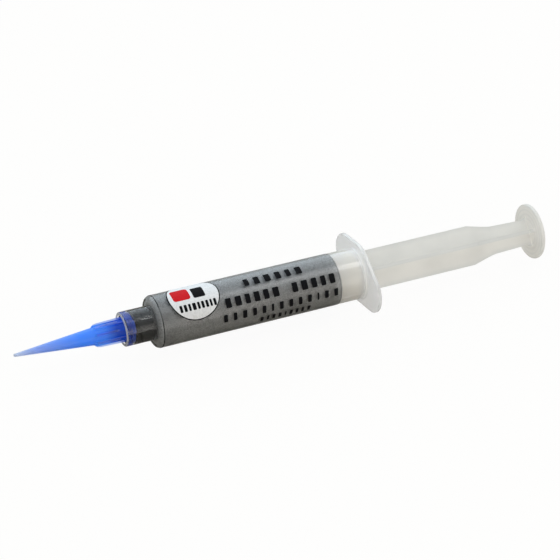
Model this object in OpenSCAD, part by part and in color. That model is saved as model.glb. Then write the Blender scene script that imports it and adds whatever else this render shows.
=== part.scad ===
// Syringe of solder paste: a luer lock barrel with a finger flange, a clear film label, the
// paste, a wiper piston, a cross ribbed plunger and a tapered dispensing tip.
// Each piece is drawn upright about the Z axis, tip down, with Z = 0 at the barrel's front
// shoulder. lying() then lays it on its side as it rests, with the finger flange flat: the tip
// points along -X, the thumb disc along +X, and the origin is under the middle of the length.

/* [Barrel] */
// Outside diameter of the barrel
barrel_d = 14.5; // [14.2:0.1:15.2]
// Inside diameter of the barrel
bore_d = 12.4; // [12:0.1:12.6]
// Length from the front shoulder to the back of the finger flange
barrel_l = 63.25; // [60:0.05:70]
// Radius of the shoulder's outer edge
shoulder_r = 1.05; // [0.8:0.05:1.1]
// Thickness of the barrel's front wall
front_wall = 1.05; // [0.9:0.05:1.3]
// Radius of the funnel's mouth in the front wall
funnel_mouth_r = 3.2; // [2.5:0.1:3.6]

/* [Finger flange] */
// Length of the flange across its two ears
flange_span = 28.3; // [26:0.1:31]
// Width of the flange across its middle
flange_width = 17.9; // [17:0.1:18.4]
// Radius of each ear's round end
ear_r = 6; // [4.5:0.1:6.4]
// Thickness of the flange
flange_t = 1.2; // [1:0.05:1.6]

/* [Luer lock] */
// Outside diameter of the lock collar
collar_d = 9.6; // [9.5:0.1:10]
// Length of the lock collar in front of the shoulder
collar_l = 8.5; // [7.8:0.1:9]
// Diameter at the root of the collar's thread
collar_bore_d = 8; // [7.9:0.05:8.2]
// Radius of the collar's front edge
collar_edge_r = 0.4; // [0.3:0.05:0.75]
// Length of the nose in front of the shoulder
nose_l = 11.2; // [10.6:0.1:11.6]
// Diameter of the nose at its front end
nose_d = 3.95; // [3.93:0.01:4]
// Growth of the nose's radius for each millimetre of its length, a six per cent taper
nose_taper = 0.03; // [0.03:0.001:0.031]
// Diameter of the outlet channel in the nose
channel_d = 2.6; // [1.8:0.1:2.8]

/* [Dispensing tip] */
// Length of the tip from its open end to its hub's back edge
tip_l = 33.3; // [30:0.1:36]
// Length of the hub, from its back edge to the foot of the cone
hub_l = 10.8; // [10:0.1:12]
// Depth to which the nose reaches into the hub
socket_depth = 5.6; // [5:0.1:6.5]
// Radius of the hub's core at the foot of the cone
cone_r = 2.45; // [2.3:0.05:2.6]
// Radius of the hub's core at its back edge
hub_r = 2.85; // [2.75:0.05:2.9]
// Radius of the open end, outside
point_r = 0.4; // [0.3:0.05:0.5]
// Radius of the open end, inside
orifice_r = 0.2; // [0.13:0.01:0.25]
// Number of grip fins round the hub
fin_count = 8; // [4:1:10]
// Thickness of a grip fin
fin_t = 0.6; // [0.4:0.05:0.8]
// Radius over the grip fins at the collar
fin_r = 3.42; // [3.3:0.02:3.46]
// Radius over the two lugs that the collar's thread holds
lug_r = 3.86; // [3.7:0.02:3.88]
// Turn of the fins and lugs about the axis
tip_turn = 43; // [0:1:90]

/* [Paste and label] */
// Distance of the piston's face from the shoulder, which is the end of the paste
paste_end = 54.15; // [40:0.05:55]
// Distance of the label's front edge from the shoulder
label_front = 1.1; // [1.1:0.05:6]
// Distance of the label's back edge from the shoulder
label_back = 53.6; // [30:0.1:55]
// Thickness of the label's film
label_t = 0.1; // [0.05:0.01:0.2]
// Width of the gap between the label's two ends, as an angle
label_gap = 28; // [10:1:60]
// Turn of that gap about the axis, from straight down towards the far side
gap_turn = 43; // [0:1:90]

/* [Piston] */
// Length of the piston
piston_l = 6; // [5.5:0.1:6.4]
// Height of each of the piston's two wiper lips
lip_h = 1.1; // [0.8:0.1:1.4]
// Radius of the piston's waist between its lips
waist_r = 5.5; // [5.2:0.1:5.8]
// Running clearance of the lips in the bore, on the radius
lip_gap = 0.03; // [0.01:0.01:0.1]
// Bevel round the piston's face
face_bevel = 0.4; // [0.2:0.05:0.6]

/* [Plunger] */
// Length from the front of the plunger's guide disc to the back of the thumb disc
plunger_l = 58.5; // [52:0.05:60]
// Thickness of each rib of the cross
rib_t = 1.05; // [0.8:0.05:1.4]
// Radius over the ribs in the barrel
rib_r = 5.7; // [5:0.02:5.8]
// Radius over the ribs in the finger grip behind the taper
grip_r = 4.02; // [3.6:0.02:4.2]
// Radius over the ribs where they meet the thumb disc
neck_r = 3.68; // [3.4:0.02:4]
// Distance of the taper's start from the thumb disc's back
taper_start = 20.7; // [19:0.1:24]
// Distance of the taper's end from the thumb disc's back
taper_end = 13.1; // [12:0.1:15]
// Diameter of the thumb disc
thumb_d = 16.1; // [14:0.1:16.4]
// Thickness of the thumb disc
thumb_t = 1.5; // [1.4:0.1:2.2]
// Radius of the thumb disc's edges
thumb_edge_r = 0.45; // [0.3:0.05:0.55]
// Distance between the raised rings on the thumb face
ring_pitch = 1.3; // [1:0.1:1.6]
// Turn of the cross about the axis
cross_turn = 43; // [0:1:90]

/* [Hidden] */
$fn = 96;
barrel_r = barrel_d / 2;
bore_r = bore_d / 2;
collar_r = collar_d / 2;
nose_r = nose_d / 2;
channel_r = channel_d / 2;
nose_fit = 0.03;        // clearance of the hub's socket on the nose, on the radius
hub_back = socket_depth - nose_l;
tip_end = hub_back - tip_l;
cone_foot = hub_back - hub_l;
collar_floor = -0.4;    // bottom of the ring shaped groove round the nose
funnel_front = -0.6;    // where the funnel behind the nose becomes the outlet channel
bore_bevel = 0.3;       // bevel between the bore and the front wall
piston_back = paste_end + piston_l;
stack_gap = 0.05;       // gap between the piston and the plunger that pushes it
guide_t = 1;            // thickness of the guide disc at the plunger's front
guide_front = piston_back + stack_gap;
thumb_back = guide_front + plunger_l;
thumb_front = thumb_back - thumb_t;
thumb_r = thumb_d / 2;
overlap = 0.3;          // how far a rib or collar sinks into the solid that it joins
overcut = 1;            // how far a cut runs past the face that it opens
axis_z = flange_width / 2;
mid_length = (tip_end + thumb_back) / 2;

// Lays an upright piece on its side: Z becomes +X and the flange's ears stay level
module lying() {
    translate([-mid_length, 0, axis_z])
        rotate([0, 90, 0])
            children();
}

// Radius of the nose at height z, by its taper
function nose_at(z) = nose_r + nose_taper * (z + nose_l);

// Square corner at the origin, in the plane, that is left after a quarter circle of radius r
module corner_cutter(r) {
    difference() {
        translate([-r, -overcut])
            square([r + overcut, r + overcut]);
        translate([-r, r])
            circle(r);
    }
}

// Half section of a rod of radius r from z0 to z1 with its lower outer edge rounded
module rounded_half(r, z0, z1, edge) {
    difference() {
        translate([0, z0])
            square([r, z1 - z0]);
        translate([r, z0])
            corner_cutter(edge);
    }
}

// Half section of a disc of radius r and thickness t with both of its outer edges rounded
module disc_half(r, t, edge) {
    difference() {
        rounded_half(r, 0, t, edge);
        translate([r, t])
            mirror([0, 1])
                corner_cutter(edge);
    }
}

// Half section of the space for the paste from z0 to z1: outlet channel, funnel and bore
module paste_room(z0, z1) {
    polygon([
        [0, z0],
        [channel_r, z0],
        [channel_r, funnel_front],
        [funnel_mouth_r, front_wall],
        [bore_r - bore_bevel, front_wall],
        [bore_r, front_wall + bore_bevel],
        [bore_r, z1],
        [0, z1]
    ]);
}

// Flange outline: a middle circle and two ear circles, joined by their common tangents
module flange_outline() {
    mid_r = flange_width / 2;
    ear_x = flange_span / 2 - ear_r;
    tangent = acos((mid_r - ear_r) / ear_x);
    normal = [cos(tangent), sin(tangent)];
    near = mid_r * normal;
    far = [ear_x, 0] + ear_r * normal;
    circle(mid_r);
    for (side = [0, 180])
        rotate(90 + side) {
            translate([ear_x, 0])
                circle(ear_r);
            polygon([[0, 0], [near.x, -near.y], [far.x, -far.y], far, near]);
        }
}

// Barrel: tube, finger flange, front wall with a funnel, tapered nose and lock collar in one
// moulding
module barrel() {
    mouth_bevel = 0.4;
    fillet_r = 0.6;
    nose_edge = 0.25;
    color([0.86, 0.87, 0.86, 0.6])
        lying()
            difference() {
                union() {
                    rotate_extrude()
                        rounded_half(barrel_r, 0, barrel_l, shoulder_r);
                    rotate_extrude()
                        difference() {
                            rounded_half(collar_r, -collar_l, overlap, collar_edge_r);
                            translate([0, -collar_l - overcut])
                                square([collar_bore_d / 2, collar_l + overcut + collar_floor]);
                        }
                    rotate_extrude()
                        polygon([
                            [0, -nose_l],
                            [nose_r - nose_edge, -nose_l],
                            [nose_at(-nose_l + nose_edge), -nose_l + nose_edge],
                            [nose_at(overlap), overlap],
                            [0, overlap]
                        ]);
                    translate([0, 0, barrel_l - flange_t])
                        linear_extrude(flange_t)
                            flange_outline();
                    translate([0, 0, barrel_l - flange_t - fillet_r])
                        rotate_extrude()
                            difference() {
                                square([barrel_r + fillet_r, fillet_r + overlap]);
                                translate([barrel_r + fillet_r, 0])
                                    circle(fillet_r);
                            }
                }
                rotate_extrude()
                    paste_room(-nose_l - overcut, barrel_l + overcut);
                translate([0, 0, barrel_l - mouth_bevel])
                    cylinder(r1 = bore_r, r2 = bore_r + 2 * mouth_bevel, h = 2 * mouth_bevel);
            }
}

// Label: a clear film wrapped round the barrel, its two ends apart on the far side
module label() {
    reach = 2 * barrel_r;
    color([0.92, 0.92, 0.92, 0.35])
        lying()
            difference() {
                translate([0, 0, label_front])
                    cylinder(r = barrel_r + label_t, h = label_back - label_front);
                translate([0, 0, label_front - overcut])
                    cylinder(r = barrel_r, h = label_back - label_front + 2 * overcut);
                rotate([0, 0, gap_turn])
                    translate([0, 0, label_front - overcut])
                        linear_extrude(label_back - label_front + 2 * overcut)
                            polygon([
                                [0, 0],
                                reach * [cos(label_gap / 2), -sin(label_gap / 2)],
                                reach * [cos(label_gap / 2), sin(label_gap / 2)]
                            ]);
            }
}

// Paste: fills the bore up to the piston, the funnel, and the channel to the end of the nose
module solder_paste() {
    color([0.42, 0.43, 0.43])
        lying()
            rotate_extrude()
                paste_room(-nose_l, paste_end);
}

// Piston: a face and two wiper lips that run in the bore, with a snap socket in its back
module piston() {
    lip_r = bore_r - lip_gap;
    slope = 0.5;
    face_t = 1.8;
    socket_r = 3.1;
    mouth_r = 2.5;
    mouth_h = 0.8;
    color([0.9, 0.89, 0.85])
        lying()
            translate([0, 0, paste_end])
                rotate_extrude()
                    difference() {
                        polygon([
                            [0, 0],
                            [lip_r - face_bevel, 0],
                            [lip_r, face_bevel],
                            [lip_r, lip_h],
                            [waist_r, lip_h + slope],
                            [waist_r, piston_l - lip_h - slope],
                            [lip_r, piston_l - lip_h],
                            [lip_r, piston_l],
                            [0, piston_l]
                        ]);
                        translate([0, face_t])
                            square([socket_r, piston_l - face_t - mouth_h]);
                        translate([0, face_t])
                            square([mouth_r, piston_l]);
                    }
}

// Outline of one pair of opposite ribs: straight in the barrel, then a slope that eases off
// into the grip, and a flare at the thumb disc
module rib_outline() {
    steps = 16;
    ease = 0.15;
    flare_l = 1.2;
    flare_w = 0.9;
    start = thumb_back - taper_start;
    end = thumb_back - taper_end;
    right = [
        [rib_r, guide_front + guide_t / 2],
        [rib_r, start],
        for (i = [1:steps])
            let (u = i / steps, drop = (1 + ease) * u - ease * pow(u, 5))
                [rib_r + (grip_r - rib_r) * drop, start + (end - start) * u],
        [neck_r, thumb_front - flare_l],
        [neck_r + flare_w, thumb_front + overlap]
    ];
    left = [for (i = [len(right) - 1:-1:0]) [-right[i][0], right[i][1]]];
    polygon(concat(right, left));
}

// Plunger: snap knob, guide disc, cross of four ribs and thumb disc in one moulding
module plunger() {
    guide_r = 5.9;
    stem_r = 2.3;
    stem_l = 0.9;
    knob_r = 2.9;
    knob_front_r = 1.7;
    knob_l = 3.2;
    ring_count = 3;
    ring_w = 0.5;
    ring_h = 0.25;
    color([0.88, 0.89, 0.88, 0.8])
        lying()
            union() {
                translate([0, 0, guide_front])
                    cylinder(r = guide_r, h = guide_t);
                translate([0, 0, guide_front - stem_l])
                    cylinder(r = stem_r, h = stem_l + overlap);
                translate([0, 0, guide_front - stem_l - knob_l])
                    cylinder(r1 = knob_front_r, r2 = knob_r, h = knob_l);
                for (turn = [0, 90])
                    rotate([0, 0, cross_turn + turn])
                        translate([0, rib_t / 2, 0])
                            rotate([90, 0, 0])
                                linear_extrude(rib_t)
                                    rib_outline();
                translate([0, 0, thumb_front])
                    rotate_extrude()
                        disc_half(thumb_r, thumb_t - ring_h, thumb_edge_r);
                for (i = [1:ring_count])
                    translate([0, 0, thumb_back - ring_h - overlap])
                        difference() {
                            cylinder(r = thumb_r - i * ring_pitch, h = ring_h + overlap);
                            translate([0, 0, -overcut])
                                cylinder(
                                    r = thumb_r - i * ring_pitch - ring_w,
                                    h = ring_h + overlap + 2 * overcut
                                );
                        }
            }
}

// Outline of one grip fin: its toe rises out of the cone, its brow rounds over, and it widens
// slowly up to the straight stretch that stands in the collar
module fin_outline() {
    toe_l = 0.7;
    toe_r = 2.75;
    brow_l = 0.5;
    brow_r = 3.1;
    front_l = 1.6;
    front_r = 3.28;
    straight_l = 2.6;
    lug_lap = 1;
    root_r = cone_r - overlap;
    fin_back = hub_back - lug_lap;
    polygon([
        [root_r, cone_foot - toe_l],
        [toe_r, cone_foot],
        [brow_r, cone_foot + brow_l],
        [front_r, cone_foot + front_l],
        [fin_r, fin_back - straight_l],
        [fin_r, fin_back],
        [root_r, fin_back]
    ]);
}

// Dispensing tip: hollow cone and a hub with a tapered socket, grip fins and two lugs
module dispensing_tip() {
    socket_gap = 0.3;   // room between the nose's end and the socket's floor
    socket_floor = -nose_l - socket_gap;
    throat_r = 1.85;
    throat_draft = 0.1;
    land = 1.5;         // straight length of the outlet at the open end
    lug_t = 1;
    lug_half_w = 1.5;
    bevel = 0.15;
    color([0.13, 0.33, 0.9, 0.8])
        lying()
            difference() {
                union() {
                    rotate_extrude()
                        polygon([
                            [0, tip_end],
                            [point_r, tip_end],
                            [cone_r, cone_foot],
                            [hub_r, hub_back - bevel],
                            [hub_r - bevel, hub_back],
                            [0, hub_back]
                        ]);
                    for (i = [0:fin_count - 1])
                        rotate([0, 0, tip_turn + i * 360 / fin_count])
                            translate([0, fin_t / 2, 0])
                                rotate([90, 0, 0])
                                    linear_extrude(fin_t)
                                        fin_outline();
                    intersection() {
                        translate([0, 0, hub_back - lug_t])
                            cylinder(r = lug_r, h = lug_t);
                        rotate([0, 0, tip_turn])
                            translate([-lug_r - overcut, -lug_half_w, hub_back - lug_t - overcut])
                                cube([2 * (lug_r + overcut), 2 * lug_half_w, lug_t + 2 * overcut]);
                    }
                }
                rotate_extrude()
                    polygon([
                        [0, hub_back + overcut],
                        [nose_at(hub_back + overcut) + nose_fit, hub_back + overcut],
                        [nose_at(socket_floor) + nose_fit, socket_floor],
                        [throat_r, socket_floor],
                        [throat_r - throat_draft, cone_foot],
                        [orifice_r, tip_end + land],
                        [orifice_r, tip_end - overcut],
                        [0, tip_end - overcut]
                    ]);
            }
}

barrel();
label();
solder_paste();
piston();
plunger();
dispensing_tip();
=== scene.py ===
"""A syringe of solder paste lying on its side: a luer lock barrel with a printed film label, the
grey paste, a wiper piston, a cross ribbed plunger and a tapered blue dispensing tip."""
import math

import bmesh
import bpy
import numpy as np
from mathutils import Matrix


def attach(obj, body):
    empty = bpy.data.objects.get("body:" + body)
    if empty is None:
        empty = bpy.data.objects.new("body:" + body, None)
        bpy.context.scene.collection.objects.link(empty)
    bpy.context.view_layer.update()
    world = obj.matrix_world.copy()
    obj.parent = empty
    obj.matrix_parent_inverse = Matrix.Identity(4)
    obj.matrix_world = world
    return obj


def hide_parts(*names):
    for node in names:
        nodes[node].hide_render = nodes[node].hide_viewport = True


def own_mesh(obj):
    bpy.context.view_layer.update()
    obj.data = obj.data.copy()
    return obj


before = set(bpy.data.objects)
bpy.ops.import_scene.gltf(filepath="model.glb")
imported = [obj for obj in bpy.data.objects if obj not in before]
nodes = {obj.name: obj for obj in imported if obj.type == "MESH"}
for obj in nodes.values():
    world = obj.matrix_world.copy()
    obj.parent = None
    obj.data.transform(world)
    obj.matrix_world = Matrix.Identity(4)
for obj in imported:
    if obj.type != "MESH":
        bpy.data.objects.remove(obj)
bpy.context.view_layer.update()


# Studio: a long lens looks down at 43 degrees on the syringe, which lies on a white sheet.
# A soft box hangs overhead in a white room, which is brightest above and behind the syringe and
# dim round the camera, with one white card low in front and another low behind.
scene = bpy.context.scene
scene.view_settings.view_transform = "Standard"

# the camera that was fitted to the photograph, with its focal length in the photograph's pixels
eye = np.array([-0.21044, -0.38846, 0.42883])
sight = np.array([0.3443, 0.6413, -0.6857])
head_up = np.array([0.2183, 0.6558, 0.7227])
photo_px, lens_px = 560, 2194.5


def aim(eye, sight, head_up):
    """Camera or lamp matrix: it looks along sight from eye, with its top towards head_up."""
    back = -sight / np.linalg.norm(sight)
    right = np.cross(head_up, back)
    right /= np.linalg.norm(right)
    m = np.eye(4)
    m[:3, 0], m[:3, 1], m[:3, 2], m[:3, 3] = right, np.cross(back, right), back, eye
    return Matrix(m.tolist())


camera_data = bpy.data.cameras.new("camera")
camera_data.sensor_width = 36.0
camera_data.lens = lens_px / photo_px * camera_data.sensor_width
camera_data.clip_start = 0.01
camera = bpy.data.objects.new("camera", camera_data)
scene.collection.objects.link(camera)
camera.matrix_world = aim(eye, sight, head_up)
scene.camera = camera

softbox_data = bpy.data.lights.new("softbox", "AREA")
softbox_data.shape = "SQUARE"
softbox_data.size = 0.20
softbox_data.energy = 0.45
softbox = bpy.data.objects.new("softbox", softbox_data)
scene.collection.objects.link(softbox)
towards_softbox, softbox_away = np.array([0.37, -0.06, 0.927]), 0.6
softbox.matrix_world = aim(softbox_away * towards_softbox, -towards_softbox,
                           np.array([0.0, 1.0, 0.0]))


def feed(tree, socket, value):
    """Links a socket to value where that is another node's output, and else sets it to value."""
    if isinstance(value, bpy.types.NodeSocket):
        tree.links.new(value, socket)
    else:
        socket.default_value = value


def node_of(tree, kind, **values):
    """Adds a shader node and gives it its values: an attribute by its name, or a socket by its
    name with spaces written as underscores."""
    n = tree.nodes.new("ShaderNode" + kind)
    for name, value in values.items():
        if hasattr(n, name):
            setattr(n, name, value)
        else:
            feed(tree, n.inputs[name.replace("_", " ")], value)
    return n


def combine(tree, operation, first, *others):
    """Math nodes that take in the values, outputs or numbers, one after another."""
    for other in others:
        n = node_of(tree, "Math", operation=operation)
        feed(tree, n.inputs[0], first)
        feed(tree, n.inputs[1], other)
        first = n.outputs[0]
    return first


def ramp(tree, value, a, b, to_a, to_b):
    """Straight line from to_a at value a to to_b at value b, level outside."""
    return node_of(tree, "MapRange", Value=value, From_Min=a, From_Max=b,
                   To_Min=to_a, To_Max=to_b).outputs[0]


def blend(tree, share, a, b):
    """Colour that is a where share is 0 and b where it is 1."""
    return node_of(tree, "Mix", data_type="RGBA", Factor=share, A=a, B=b).outputs["Result"]


def mix_shaders(tree, share, first, second):
    """Shader node that is first where share is 0 and second where it is 1."""
    mix = node_of(tree, "MixShader", Fac=share)
    tree.links.new(first.outputs[0], mix.inputs[1])
    tree.links.new(second.outputs[0], mix.inputs[2])
    return mix


def material(name):
    """Empty node material, its tree and its output node."""
    m = bpy.data.materials.new(name)
    m.use_nodes = True
    m.node_tree.nodes.clear()
    return m, m.node_tree, node_of(m.node_tree, "OutputMaterial")


def picture_rays(tree, mirrored):
    """1 for rays that go straight or through glass to the background, mirrored for those that a
    gloss sends there, and 0 for rays that gather light on a matt surface."""
    path = node_of(tree, "LightPath").outputs
    straight = combine(tree, "MAXIMUM", path["Is Camera Ray"], path["Is Transmission Ray"])
    gloss = combine(tree, "MULTIPLY", path["Is Glossy Ray"], mirrored)
    either = combine(tree, "MINIMUM", combine(tree, "ADD", straight, gloss), 1.0)
    unscattered = combine(tree, "LESS_THAN", path["Diffuse Depth"], 0.5)
    return combine(tree, "MULTIPLY", either, unscattered)


def nearness(tree, direction):
    """How near the sky's direction is to the given one: the cosine of the angle between them."""
    n = node_of(tree, "VectorMath", operation="DOT_PRODUCT")
    feed(tree, n.inputs[0], node_of(tree, "TexCoord").outputs["Generated"])
    feed(tree, n.inputs[1], direction)
    return n.outputs["Value"]


# the room lights the syringe, and a plain white takes its place in the picture
world = bpy.data.worlds.new("white_room")
scene.world = world
world.use_nodes = True
tree = world.node_tree
background = tree.nodes["Background"]
overhead = nearness(tree, (0.0, 0.70, 0.71))
low_in_front = nearness(tree, (0.0, -0.985, 0.17))
low_behind = nearness(tree, (0.0, 0.94, 0.34))
room = ramp(tree, overhead, 0.1, 1.0, 0.46, 1.65)
front_card = ramp(tree, low_in_front, 0.78, 1.0, 0.0, 2.4)
back_card = ramp(tree, low_behind, 0.75, 1.0, 0.0, 1.7)
light = combine(tree, "ADD", room, front_card, back_card)
picture = picture_rays(tree, 0.25)
light_share = combine(tree, "SUBTRACT", 1.0, picture)
strength = combine(tree, "ADD", combine(tree, "MULTIPLY", light, light_share), picture)
warm_low, cool_high, white = (1.0, 0.965, 0.90, 1), (0.79, 0.91, 1.0, 1), (1.0, 1.0, 1.0, 1)
room_tint = blend(tree, ramp(tree, overhead, -0.3, 0.75, 0.0, 1.0), warm_low, cool_high)
feed(tree, background.inputs["Strength"], strength)
feed(tree, background.inputs["Color"], blend(tree, picture, room_tint, white))

# the sheet glows white in the picture, and the matt share of it holds the syringe's shadow
floor_half = 3.0
floor_mesh = bpy.data.meshes.new("floor")
floor_mesh.from_pydata(
    [(-floor_half, -floor_half, 0), (floor_half, -floor_half, 0),
     (floor_half, floor_half, 0), (-floor_half, floor_half, 0)], [], [(0, 1, 2, 3)])
floor = bpy.data.objects.new("floor", floor_mesh)
scene.collection.objects.link(floor)
paper, tree, out = material("white_sheet")
sheet = node_of(tree, "BsdfDiffuse", Color=(0.28, 0.255, 0.205, 1))
glow = node_of(tree, "Emission", Color=white, Strength=1.09)
glow_share = ramp(tree, picture_rays(tree, 0.1), 0.0, 1.0, 0.0, 0.87)
feed(tree, out.inputs["Surface"], mix_shaders(tree, glow_share, sheet, glow).outputs[0])
floor_mesh.materials.append(paper)


# Barrel: one injection moulding in clear polypropylene, with the finger flange, the shoulder,
# the tapered nose and the collar with its two start lock thread. Outside it is polished; the
# bore is matt from its core pin, and paste that wets the bore makes it look clear again.
MM = 0.001
AXIS_Z = 0.00895        # height of the syringe's axis over the sheet, in metres
SHOULDER_X = -0.0399    # the barrel's front shoulder, in metres

# from here on sizes are in millimetres, and places along the syringe are behind the shoulder
tube_r, bore_r = 7.25, 6.2
front_wall, shoulder_r = 1.05, 1.05
mouth_bevel, bore_bevel = 0.4, 0.3                  # at the back and the front of the bore
film_front, film_back = 1.1, 53.95                  # edges of the label's film

flange_front, flange_back, flange_r = 62.05, 63.25, 8.95
ear_r, ear_at = 6.0, 8.15                           # round end of each ear, and its middle
rim_r, fillet_r = 0.35, 0.6

nose_l, nose_end_r, nose_taper, nose_bevel = 11.2, 1.975, 0.03, 0.25
channel_r, funnel_r, funnel_end = 1.3, 3.2, -0.6    # the paste's way out through the nose
collar_l, collar_r, collar_edge_r, collar_root_r = 8.5, 4.8, 0.4, 0.2
collar_floor = -0.4                                 # bottom of the groove round the nose

thread_r, thread_h, thread_lead = 4.0, 0.5, 5.0     # radius at the root, height, lead
thread_front, thread_back, thread_fade = -8.15, -3.0, 0.35
thread_half, thread_flank = 0.4, 0.25               # half of a thread's foot, and its slope
tip_turn, lug_z, lug_half, lug_fade = 43, -6.1, 0.55, 0.25      # where the tip's lugs sit
wetting = 0.02          # gap that stands for none: what wets a wall lies this far off its face


def place(tree):
    """Object coordinates, and in millimetres the distance behind the shoulder and the distance
    from the syringe's axis."""
    where = node_of(tree, "TexCoord").outputs["Object"]
    in_mm = node_of(tree, "Mapping", Vector=where, Scale=(1 / MM, 1 / MM, 1 / MM),
                    Location=(-SHOULDER_X / MM, 0, -AXIS_Z / MM)).outputs[0]
    along = node_of(tree, "SeparateXYZ", Vector=in_mm).outputs["X"]
    across = node_of(tree, "Mapping", Vector=in_mm, Scale=(0, 1, 1)).outputs[0]
    radius = node_of(tree, "VectorMath", operation="LENGTH", Vector=across).outputs["Value"]
    return where, along, radius


def grains(tree, where, per_metre, detail=2.0):
    """Noise with grains of about 1/per_metre."""
    return node_of(tree, "TexNoise", Vector=where, Scale=per_metre, Detail=detail).outputs["Fac"]


def bump(tree, height, distance, strength):
    """Normal of a surface whose height varies by up to distance, in millimetres."""
    return node_of(tree, "Bump", Height=height, Distance=distance * MM,
                   Strength=strength).outputs[0]


def let_lamps_through(tree, shader, out, share=0.85):
    """Lamps shine through the clear wall: shadow rays meet share of it as open."""
    shadow_ray = node_of(tree, "LightPath").outputs["Is Shadow Ray"]
    open_part = node_of(tree, "BsdfTransparent", Color=(share, share, share, 1))
    feed(tree, out.inputs["Surface"], mix_shaders(tree, shadow_ray, shader, open_part).outputs[0])


def put_mesh(name, grid, closed_u=False, closed_v=False, capped=False, sharp=None):
    """Piece from a grid of points P[u, v]: each square of neighbours is a face, and a closed
    direction runs on from its last row to its first. Points in one place become one, capped
    closes the open ends, and an edge that turns by more than sharp degrees stays sharp."""
    nu, nv = grid.shape[:2]
    index = np.arange(nu * nv).reshape(nu, nv)
    right = np.roll(index, -1, 0) if closed_u else index[1:]
    left = index if closed_u else index[:-1]
    corners = [left, right, np.roll(right, -1, 1), np.roll(left, -1, 1)]
    if not closed_v:
        corners = [c[:, :-1] for c in corners]
    quads = np.stack(corners, -1).reshape(-1, 4)
    mesh = bpy.data.meshes.new(name)
    mesh.from_pydata(grid.reshape(-1, 3), [], quads)
    bm = bmesh.new()
    bm.from_mesh(mesh)
    bmesh.ops.remove_doubles(bm, verts=bm.verts, dist=1e-7)
    if capped:
        bmesh.ops.holes_fill(bm, edges=bm.edges)
    bmesh.ops.recalc_face_normals(bm, faces=bm.faces)
    bm.to_mesh(mesh)
    bm.free()
    mesh.shade_smooth()
    if sharp is not None:
        mesh.set_sharp_from_angle(angle=math.radians(sharp))
    piece = bpy.data.objects.new(name, mesh)
    scene.collection.objects.link(piece)
    return piece


def about_axis(z, r, angle):
    """Points z behind the shoulder and r from the axis, at an angle round it from the top to the
    front: X is z, Y is -r sin(angle) and the height over the axis is r cos(angle)."""
    z, r, angle = np.broadcast_arrays(z, r, angle)
    return np.stack([SHOULDER_X + z * MM, -r * MM * np.sin(angle),
                     AXIS_Z + r * MM * np.cos(angle)], -1)


def finish_piece(piece, skin, body, slot, *replaced):
    """Gives a piece its finish and its body, and hides the nodes it stands for; slot is not used.
    """
    piece.data.materials.append(skin)
    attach(piece, body)
    if replaced:
        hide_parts(*replaced)


def arc(z, r, radius, start, stop, steps=6):
    """Points on a circle about (z, r) from start to stop degrees: 0 is along Z, 90 outwards."""
    t = np.radians(np.linspace(start, stop, steps + 1))
    return np.stack([z + radius * np.cos(t), r + radius * np.sin(t)], 1)


def tight_corners(outline, hold=0.05):
    """The same closed outline with a point close to each end of its long sides, so that smooth
    shading stays in the corners: a + (b - a) * hold / |b - a|, and the same from b."""
    a, b = outline, np.roll(outline, -1, 0)
    length = np.linalg.norm((b - a)[:, :2], axis=1)
    step = (b - a) * (hold / np.maximum(length, hold))[:, None]
    long = length > 6 * hold
    keep = np.stack([np.ones(len(a), bool), long, long], 1)
    return np.stack([a, a + step, b - step], 1)[keep]


def flange_reach(angle):
    """Distance of the flange's rim from the axis: a middle circle, its tangent m / cos(a - t) and
    the ear's circle e cos(a) + sqrt(q^2 - e^2 sin(a)^2), where a is the angle from the ear."""
    a = np.arctan2(np.abs(np.cos(angle)), np.abs(np.sin(angle)))
    tangent = math.acos((flange_r - ear_r) / ear_at)
    touch = math.atan2(ear_r * math.sin(tangent), ear_at + ear_r * math.cos(tangent))
    ear = ear_at * np.cos(a) + np.sqrt(np.maximum(ear_r**2 - (ear_at * np.sin(a))**2, 0))
    side = flange_r / np.cos(np.minimum(a, tangent) - tangent)
    return np.where(a > tangent, flange_r, np.where(a > touch, side, ear))


def ridge(z, angle):
    """Height, 0 to 1, of the two lock threads at z and angle: (thread_half - off) / thread_flank,
    where off is the distance to the nearer thread's middle, faded out at both ends of the thread
    and round the place where the tip's lugs turn. One thread passes z = -7.45 in front of a lug."""
    passes_z, pitch = -7.45, thread_lead / 2
    off = z - passes_z - (angle - math.radians(tip_turn)) * thread_lead / (2 * math.pi)
    off = np.abs((off + pitch / 2) % pitch - pitch / 2)
    in_ends = np.clip(np.minimum(z - thread_front, thread_back - z) / thread_fade, 0, 1)
    off_lugs = np.clip((np.abs(z - lug_z) - lug_half) / lug_fade, 0, 1)
    return np.clip((thread_half - off) / thread_flank, 0, 1) * in_ends * off_lugs


around = np.linspace(0, 2 * math.pi, 192, endpoint=False)
nose_root_r = nose_end_r + nose_taper * (nose_l + collar_floor)
outline = np.concatenate([
    arc(shoulder_r, tube_r - shoulder_r, shoulder_r, 180, 90, 8),
    [(film_front + 0.05, tube_r), (film_back, tube_r)],
    arc(flange_front - fillet_r, tube_r + fillet_r, fillet_r, 270, 360),
    arc(flange_front + rim_r, flange_r - rim_r, rim_r, 180, 90),
    arc(flange_back - rim_r, flange_r - rim_r, rim_r, 90, 0),
    [(flange_back, bore_r + mouth_bevel), (flange_back - mouth_bevel, bore_r)],
    [(front_wall + bore_bevel, bore_r), (front_wall, bore_r - bore_bevel)],
    [(front_wall, funnel_r), (funnel_end, channel_r), (-nose_l, channel_r)],
    [(-nose_l, nose_end_r - nose_bevel),
     (nose_bevel - nose_l, nose_end_r + nose_taper * nose_bevel), (collar_floor, nose_root_r)],
    [(collar_floor, thread_r), (-collar_l, thread_r)],
    arc(collar_edge_r - collar_l, collar_r - collar_edge_r, collar_edge_r, 180, 90),
    arc(-collar_root_r, collar_r + collar_root_r, collar_root_r, 270, 360, 4)])
on_rim = outline[:, 1] > flange_r - 1.5 * rim_r
outline = tight_corners(np.column_stack([outline, on_rim]))
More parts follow.
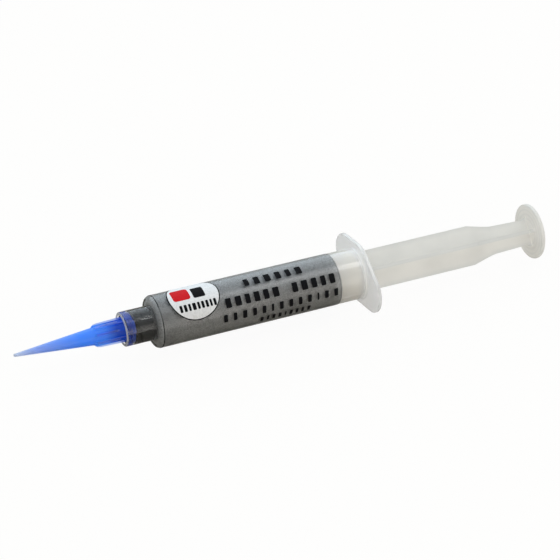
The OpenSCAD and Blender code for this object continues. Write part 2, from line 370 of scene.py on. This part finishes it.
wall_end = np.flatnonzero((outline[:, 1] == thread_r) & (outline[:, 0] > -collar_l))[-1]
threaded = [(z, thread_r, 0) for z in np.linspace(thread_back + 0.1, thread_front - 0.15, 61)]
outline = np.insert(outline, wall_end, threaded, axis=0)
z, r, on_rim = outline.T[:, None, :]
r = r + on_rim * (flange_reach(around[:, None]) - flange_r)
r = np.where(r == thread_r, r - thread_h * ridge(z, around[:, None]), r)
barrel = put_mesh("barrel_moulding", about_axis(z, r, around[:, None]),
                  closed_u=True, closed_v=True, sharp=38)

clear_pp, tree, out = material("barrel_clear_pp")
where, along, radius = place(tree)

# the outside and the front wall are polished, and the flange and the collar's mouth are hazy
outside = ramp(tree, radius, 6.3, 6.7, 0.0, 1.0)
ahead = ramp(tree, along, 1.6, 1.2, 0.0, 1.0)
polished = combine(tree, "MAXIMUM", outside, ahead)
end_haze = combine(tree, "ADD", ramp(tree, along, 60.8, 61.5, 0.0, 0.3),
                   ramp(tree, along, -8.4, -8.15, 0.35, 0.0))
clouds = combine(tree, "MULTIPLY", ramp(tree, grains(tree, where, 120.0), 0.35, 0.7, 0.0, 0.03),
                 combine(tree, "SUBTRACT", 1.0, ahead))
clarity = combine(tree, "SUBTRACT", ramp(tree, polished, 0.0, 1.0, 0.5, 1.0), end_haze, clouds)
gloss_loss = combine(tree, "ADD", ramp(tree, polished, 0.0, 1.0, 0.4, 0.13),
                     combine(tree, "MULTIPLY", end_haze, 0.4))
plastic = node_of(tree, "BsdfPrincipled", Base_Color=(0.89, 0.875, 0.865, 1), IOR=1.49,
                  Transmission_Weight=clarity, Roughness=gloss_loss)
scattered = node_of(tree, "BsdfTranslucent", Color=(0.90, 0.885, 0.87, 1))
haze = combine(tree, "MULTIPLY", combine(tree, "SUBTRACT", 1.0, clarity), 0.6)
let_lamps_through(tree, mix_shaders(tree, haze, plastic, scattered), out)

# the adhesive under the film takes the gloss off the wall
glued_pp, tree, out = material("barrel_under_film")
where, along, radius = place(tree)
veil = ramp(tree, grains(tree, where, 900.0), 0.3, 0.7, 0.98, 0.93)
cloudy = node_of(tree, "CombineColor", Red=veil, Green=veil, Blue=veil).outputs[0]
wall = node_of(tree, "BsdfRefraction", Color=cloudy, IOR=1.49, Roughness=0.0)
let_lamps_through(tree, wall, out)

# paste and flux wet the collar's wall, so that its inner face doesn't shine
wetted_pp, tree, out = material("barrel_wetted")
wet = node_of(tree, "BsdfRefraction", Color=(0.98, 0.98, 0.97, 1), IOR=1.49, Roughness=0.0)
let_lamps_through(tree, wet, out)

finish_piece(barrel, clear_pp, "barrel", "barrel", "barrel")
barrel.data.materials.append(glued_pp)
barrel.data.materials.append(wetted_pp)
middle = np.empty(len(barrel.data.polygons) * 3)
barrel.data.polygons.foreach_get("center", middle)
middle = middle.reshape(-1, 3) / MM
off_axis = np.hypot(middle[:, 1], middle[:, 2] - AXIS_Z / MM)
z = middle[:, 0] - SHOULDER_X / MM
under = (off_axis > tube_r - 0.05) & (z > film_front - 0.05) & (z < film_back)
wetted = (off_axis < thread_r + 0.05) & (z > -7.9) & (z < -0.3)
barrel.data.polygons.foreach_set("material_index", (under + 2 * wetted).astype(np.int32))


# Paste: fine grey solder powder in sticky flux, pressed flat against the bore by the piston. It
# fills the bore and the nose's channel, and the bulk has a mesh of its own.
paste_end = 54.15
piston_face_r, piston_bevel = 5.8, 0.35


def turned(name, outline, steps=128):
    """Solid of revolution: an outline of (z, r) points from axis to axis, turned about the axis."""
    z, r = np.array(outline).T[:, None, :]
    angle = np.linspace(0, 2 * math.pi, steps, endpoint=False)
    return put_mesh(name, about_axis(z, r, angle[:, None]), closed_u=True)


bulk_z = np.linspace(front_wall + bore_bevel, paste_end, 12)
bulk_outline = [(front_wall - wetting, 0), (front_wall - wetting, bore_r - bore_bevel)]
bulk_outline += [(z, bore_r + wetting) for z in bulk_z]
bulk_outline += [(paste_end + piston_bevel, bore_r + wetting),      # round the piston's bevel
                 (paste_end + piston_bevel, piston_face_r + piston_bevel),
                 (paste_end, piston_face_r), (paste_end, 0)]
paste_bulk = turned("paste_bulk", bulk_outline)

core_r, core_round = channel_r + wetting, 0.15
paste_core = turned("paste_core", [
    (-nose_l, 0), (-nose_l, core_r * 0.7), (core_round - nose_l, core_r), (funnel_end, core_r),
    (front_wall - wetting, funnel_r + wetting), (front_wall + wetting, 0)], 64)


# paste that was pressed out round the nose fills the collar behind the tip's hub, and clear flux
# that bled out of it fills the rest; both wet the threaded wall
def in_collar(name, z_wall, z_face, r_face):
    """Ring between the nose and the collar's wall: its radius is the smaller of the outline's and
    of the threaded wall's. z_face, r_face are the points of its faces and its side on the nose."""
    wall_r = thread_r + wetting
    z = np.concatenate([z_wall, z_face])[None, :]
    r = np.concatenate([np.full(len(z_wall), wall_r), r_face])[None, :]
    r = np.minimum(r, wall_r - thread_h * ridge(z, around[:, None]))
    return put_mesh(name, about_axis(z, r, around[:, None]), closed_u=True, closed_v=True, sharp=50)


on_floor, paste_front, flux_back, flux_front = collar_floor + wetting, -5.3, -5.2, -7.9
paste_in_collar = in_collar("paste_in_collar", np.linspace(on_floor, paste_front, 56),
                            [-5.15, -5.05, -5.0, -5.1, on_floor], [3.8, 3.5, 3.0, 2.2, 2.28])
flux_in_collar = in_collar("flux_in_collar", np.linspace(flux_back, flux_front, 31),
                           [-7.8, -7.7, -7.6, -4.9, -4.9, flux_back],
                           [3.8, 3.5, 2.6, 2.6, 3.8, 3.9])

grey_paste, tree, out = material("grey_solder_paste")
where, along, radius = place(tree)
powder = grains(tree, where, 3000.0)
smears = grains(tree, where, 260.0, 3.0)
shade = combine(tree, "ADD", ramp(tree, powder, 0.34, 0.66, 0.35, 0.55),
                ramp(tree, smears, 0.35, 0.65, -0.02, 0.025))
# painted shade: the paste is painted darker in the nose and the collar, and less so near the front
# wall
painted_shade_in_nose = ramp(tree, along, -0.5, 0.6, 0.15, 1.0)
painted_shade_near_front = ramp(tree, along, 0.0, 7.0, 0.68, 1.0)
# painted shadow: in front of the shoulder, paste nearer the axis than the thread's root is painted
# far darker, most of all under the thread's crests
painted_thread_shadow = combine(tree, "MAXIMUM", ramp(tree, radius, 3.6, 4.0, 0.1, 1.0),
                       ramp(tree, along, -0.4, 0.0, 0.0, 1.0))
# painted shade: the paste's front face behind the front wall is painted darker close round the
# collar's root
painted_shade_round_collar = combine(tree, "MAXIMUM", ramp(tree, radius, 4.7, 5.8, 0.45, 1.0),
                       ramp(tree, along, 1.05, 1.4, 0.0, 1.0))
shade = combine(tree, "MULTIPLY", shade, painted_shade_in_nose, painted_shade_near_front, painted_thread_shadow, painted_shade_round_collar)
tone = node_of(tree, "CombineColor", Red=shade, Green=shade,
               Blue=combine(tree, "MULTIPLY", shade, 0.99)).outputs[0]
paste = node_of(tree, "BsdfPrincipled", Base_Color=tone, IOR=1.45, Specular_IOR_Level=0.1,
                Roughness=ramp(tree, powder, 0.3, 0.7, 0.7, 0.5),
                Normal=bump(tree, powder, 0.03, 0.6))
feed(tree, out.inputs["Surface"], paste.outputs[0])
finish_piece(paste_bulk, grey_paste, "barrel", "solder_paste", "solder_paste")
finish_piece(paste_core, grey_paste, "barrel", "solder_paste", "solder_paste")
finish_piece(paste_in_collar, grey_paste, "barrel", "solder_paste")

clear_flux, tree, out = material("clear_flux")
where, along, radius = place(tree)
streaks = blend(tree, ramp(tree, grains(tree, where, 700.0), 0.35, 0.7, 0.0, 1.0),
                (0.97, 0.97, 0.96, 1), (0.86, 0.87, 0.86, 1))
flux = node_of(tree, "BsdfPrincipled", Base_Color=streaks, IOR=1.49, Roughness=0.05,
               Transmission_Weight=1.0, Specular_Tint=(0.05, 0.05, 0.05, 1))
let_lamps_through(tree, flux, out)
finish_piece(flux_in_collar, clear_flux, "barrel", "solder_paste")

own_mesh(paste_bulk)


# Label: a clear polypropylene film, wrapped round the barrel and held by its own adhesive. Its
# ends stay apart on the far side, and its cut front edge shows as a fine dark line.
film_t = 0.08
film_in, film_out = tube_r + wetting, tube_r + wetting + film_t
gap, gap_middle = math.radians(28), math.radians(223)       # on the side away from the camera
sweep = np.linspace(gap_middle + gap / 2, gap_middle + 2 * math.pi - gap / 2, 161)
film_z = np.array([[film_front, film_front, film_back, film_back]])
film_r = np.array([[film_in, film_out, film_out, film_in]])
film = put_mesh("label_film", about_axis(film_z, film_r, sweep[:, None]),
                closed_v=True, capped=True, sharp=40)

clear_film, tree, out = material("label_film")
where, along, radius = place(tree)

# the cut front edge lets little light through, and the back edge most of it
edge = combine(tree, "MULTIPLY",
               ramp(tree, along, film_front + 0.22, film_front + 0.34, 0.3, 0.98),
               ramp(tree, along, film_back - 0.3, film_back - 0.18, 1.0, 0.8))
tint = node_of(tree, "CombineColor", Red=edge, Green=edge, Blue=edge).outputs[0]
see_through = node_of(tree, "BsdfTransparent", Color=tint)
gloss = node_of(tree, "BsdfGlossy", Color=white, Roughness=0.24)
fresnel = node_of(tree, "Fresnel", IOR=1.5).outputs[0]
shine = combine(tree, "MULTIPLY", ramp(tree, fresnel, 0.04, 1.0, 0.035, 0.9),
                ramp(tree, radius, film_in + 0.01, film_out - 0.02, 0.0, 1.0))
feed(tree, out.inputs["Surface"], mix_shaders(tree, shine, see_through, gloss).outputs[0])
finish_piece(film, clear_film, "barrel", "label", "label")


# Print on the label: screen ink in flat colours. A white disc with a dark ring carries a red
# and a black bar and a row of blocks, and four rows of plain black blocks run along the label.
ink_r, ink_t = film_out + 0.01, 0.015


def ink(name, colour):
    """Screen ink: a flat colour with a fine grain in its tone and a satin surface."""
    skin, tree, out = material(name)
    where, along, radius = place(tree)
    mottle = ramp(tree, grains(tree, where, 2200.0), 0.4, 0.75, 0.0, 1.0)
    tone = blend(tree, mottle, (*colour, 1), (*[c * 0.82 for c in colour], 1))
    pigment = node_of(tree, "BsdfPrincipled", Base_Color=tone, Roughness=0.5,
                      Specular_IOR_Level=0.03)
    feed(tree, out.inputs["Surface"], pigment.outputs[0])
    return skin


def printed(name, skin, z, angle, level):
    """Flat ink on the film: loops of (z, angle) points from the middle outwards, as arrays
    [loop, point]. The last loop is the outline, and the ink is ink_t thick on each level."""
    loops = len(z)
    z = np.concatenate([z, z[-1:], z[::-1]])
    angle = np.concatenate([angle, angle[-1:], angle[::-1]])
    r = np.full(len(z), ink_r + level * ink_t)
    r[:loops] += ink_t
    piece = put_mesh(name, about_axis(z, r[:, None], angle), closed_v=True, sharp=40)
    finish_piece(piece, skin, "barrel", "label")


def disc_print(name, skin, z0, angle0, radius, level):
    """Round field: circles of growing radius about (z0, angle0), laid on the film."""
    rho = np.linspace(0, radius, 12)[:, None]
    phi = np.linspace(0, 2 * math.pi, 96, endpoint=False)[None, :]
    printed(name, skin, z0 + rho * np.cos(phi), angle0 + rho * np.sin(phi) / ink_r, level)


def block_print(name, skin, z0, angle0, length, height, round_r, level):
    """Rounded block: a rectangle with corner radius round_r, walked round in even steps and
    shrunk towards its middle for the inner loops."""
    round_r = min(round_r, 0.49 * length, 0.49 * height)
    k = np.linspace(0, 2 * math.pi, 48, endpoint=False) + math.pi / 48
    u = np.sign(np.cos(k)) * (length / 2 - round_r) + round_r * np.cos(k)
    v = np.sign(np.sin(k)) * (height / 2 - round_r) + round_r * np.sin(k)
    u, v = np.append(u, u[0]), np.append(v, v[0])
    gone = np.concatenate([[0], np.cumsum(np.hypot(np.diff(u), np.diff(v)))])
    steps = np.linspace(0, gone[-1], 64, endpoint=False)
    u, v = np.interp(steps, gone, u), np.interp(steps, gone, v)
    shrink = np.linspace(0, 1, 7)[:, None]
    printed(name, skin, z0 + shrink * u, angle0 + shrink * v / ink_r, level)


def row_of_blocks(name, start, stop, angle, height, widths, gap, level=0):
    """A line of blocks from start to stop along the label, angle degrees round from the top, with
    a gap between neighbours. widths are shares of the line; a 0 leaves the space of a 1 empty."""
    steps = [width or 1.0 for width in widths]
    unit = (stop - start - gap * (len(widths) - 1)) / sum(steps)
    z = start
    for i, (width, step) in enumerate(zip(widths, steps), 1):
        if width:
            block_print(f"{name}_{i}", black_ink, z + width * unit / 2, math.radians(angle),
                        width * unit, height, 0.25, level)
        z += step * unit + gap


white_ink = ink("white_ink", (0.675, 0.66, 0.65))
black_ink = ink("black_ink", (0.006, 0.006, 0.007))
red_ink = ink("red_ink", (0.52, 0.012, 0.016))

disc_z, disc_angle, disc_r, ring_w = 11.7, 4.0, 7.4, 0.3
disc_print("label_disc_ring", black_ink, disc_z, math.radians(disc_angle), disc_r, 0)
disc_print("label_disc", white_ink, disc_z, math.radians(disc_angle), disc_r - ring_w, 1)
block_print("label_bar_red", red_ink, disc_z - 3.4, math.radians(disc_angle - 9),
            5.0, 4.4, 0.8, 2)
block_print("label_bar_black", black_ink, disc_z + 1.6, math.radians(disc_angle - 6),
            3.4, 3.8, 0.4, 2)
row_of_blocks("disc_blocks", disc_z - 5.0, disc_z + 5.6, disc_angle + 27, 2.0,
              (1, 1.1, 0.9, 1.3, 0.9, 1, 1, 0.8, 1), 0.45, level=2)
row_of_blocks("row_1_block", 26.6, 43.8, 4.2, 2.5, (0.9, 1, 1.1, 1, 0.9, 1.1), 1.5)
row_of_blocks("row_2_block", 19.7, 52.4, 41.2, 2.7,
              (1, 1.1, 0.9, 1, 0.95, 1.1, 0, 1, 1.1, 1, 0.9, 1), 1.2)
row_of_blocks("row_3_block", 18.6, 52.8, 73.8, 2.3,
              (1, 0.9, 1.1, 1, 0.9, 0.6, 1, 1, 0.95, 1, 0.5, 1, 1), 1.75)
row_of_blocks("row_4_block", 29.6, 44.6, 100.8, 2.0,
              (1, 0.8, 0.9, 1, 0.5, 1, 0.8, 0.9, 1), 1.0)


# Piston: a wiper moulded in natural polyethylene. Its two lips run in the bore, and its socket
# snaps over the plunger's knob. Natural polyethylene is milky and waxy.
def milky(name, colour, clarity, roughness, glow, thick=None):
    """Natural polymer: pale, partly see-through, with a fine matt grain and slow clouds. A share
    glow of the light passes through each face and is scattered on the way. thick gives the share,
    0 to 1, of a deeper tone painted where one looks into a long depth of the polymer: painted
    shade."""
    skin, tree, out = material(name)
    where, along, radius = place(tree)
    clouds = ramp(tree, grains(tree, where, 140.0, 3.0), 0.35, 0.7, 0.0, 1.0)
    tone = blend(tree, clouds, (*colour, 1), (*[c * 0.93 for c in colour], 1))
    if thick is not None:
        # painted shade: a deeper grey is blended in where thick says the plunger looks deep
        tone = blend(tree, thick(tree, along, radius), tone, (0.65, 0.65, 0.635, 1))
    fine = ramp(tree, grains(tree, where, 700.0), 0.3, 0.7, roughness - 0.04, roughness + 0.04)
    body = node_of(tree, "BsdfPrincipled", Base_Color=tone, IOR=1.5, Roughness=fine,
                   Transmission_Weight=clarity)
    scattered = node_of(tree, "BsdfTranslucent", Color=tone)
    let_lamps_through(tree, mix_shaders(tree, glow, body, scattered), out, 0.8)
    return skin


nodes["piston"].material_slots[0].material = milky(
    "piston_natural_pe", (0.97, 0.935, 0.85), 0.1, 0.4, 0.7)


# Plunger: a cross of four thin ribs with a guide disc in front and a thumb disc behind, moulded
# in one from natural polypropylene.
def painted_edge_and_ring_shade(tree, along, radius):
    """Painted shade where the plunger would look deep: on the ribs' outer edges, seen edge on, and
    behind the three raised rings of the thumb face, which show through the disc."""
    ring_r, ring_step, ring_half, thumb_disc = 6.5, 1.3, 0.2, 116.7
    rib_r = ramp(tree, along, 98.5, 105.1, 5.7, 4.0)        # the cross narrows behind
    rib = ramp(tree, combine(tree, "SUBTRACT", rib_r, radius), 0.1, 1.4, 0.6, 0.2)
    off_ring = combine(tree, "PINGPONG", combine(tree, "SUBTRACT", radius, ring_r), ring_step / 2)
    ring = combine(tree, "MULTIPLY", ramp(tree, off_ring, ring_half, ring_half + 0.1, 0.25, 0.0),
                   ramp(tree, radius, 3.2, 3.4, 0.0, 1.0))
    in_disc = ramp(tree, along, thumb_disc, thumb_disc + 0.4, 0.0, 1.0)
    in_cross = combine(tree, "SUBTRACT", 1.0, in_disc)
    return combine(tree, "ADD", combine(tree, "MULTIPLY", ring, in_disc),
                   combine(tree, "MULTIPLY", rib, in_cross))


# the plunger's colour has painted shade on its ribs' edges and at its thumb rings
nodes["plunger"].material_slots[0].material = milky(
    "plunger_natural_pp", (0.865, 0.84, 0.80), 0.24, 0.35, 0.5, painted_edge_and_ring_shade)


# Dispensing tip: a tapered polyethylene cone with a finned hub, screwed into the collar by two
# lugs. It is tinted blue right through, so the thin wall near its point looks pale.
point_z, hub_z = -38.9, -5.6
blue_pe, tree, out = material("tip_blue_pe")
where, along, radius = place(tree)
# share of the way from the point to the hub's back edge, and the tone there; the deepest blue, from
# 0.86 on, is painted shade near and inside the collar
colours = [(0.0, (0.70, 0.75, 0.86)), (0.2, (0.42, 0.56, 0.92)), (0.55, (0.14, 0.46, 1.0)),
           (0.75, (0.14, 0.44, 1.0)), (0.86, (0.02, 0.13, 0.78))]
stops = node_of(tree, "ValToRGB", Fac=ramp(tree, along, point_z, hub_z, 0.0, 1.0))
band = stops.color_ramp
while len(band.elements) < len(colours):
    band.elements.new(0.5)
for element, (position, colour) in zip(band.elements, colours):
    element.position = position
    element.color = (*colour, 1)

# the thin fins let the white behind them through between their roots and their outer edges: there
# they are more see-through, and their tone is painted paler as painted light
fins_clear_and_painted_light = combine(tree, "MULTIPLY", ramp(tree, radius, 2.86, 2.95, 0.0, 0.95),
                 ramp(tree, radius, 3.38, 3.41, 1.0, 0.0),
                 ramp(tree, along, -9.5, -8.0, 1.0, 0.0))
tone = blend(tree, fins_clear_and_painted_light, stops.outputs[0], (0.44, 0.56, 0.92, 1))
tip = node_of(tree, "BsdfPrincipled", Base_Color=tone, IOR=1.5, Roughness=0.3,
              Specular_Tint=(0.5, 0.5, 0.5, 1),
              Transmission_Weight=ramp(tree, fins_clear_and_painted_light, 0.0, 1.0, 0.5, 0.95),
              Normal=bump(tree, grains(tree, where, 1500.0), 0.008, 0.3))
scattered = node_of(tree, "BsdfTranslucent", Color=tone)
scattered_share = ramp(tree, fins_clear_and_painted_light, 0.0, 1.0, 0.35, 0.05)
let_lamps_through(tree, mix_shaders(tree, scattered_share, tip, scattered), out, 0.4)
nodes["dispensing_tip"].material_slots[0].material = blue_pe
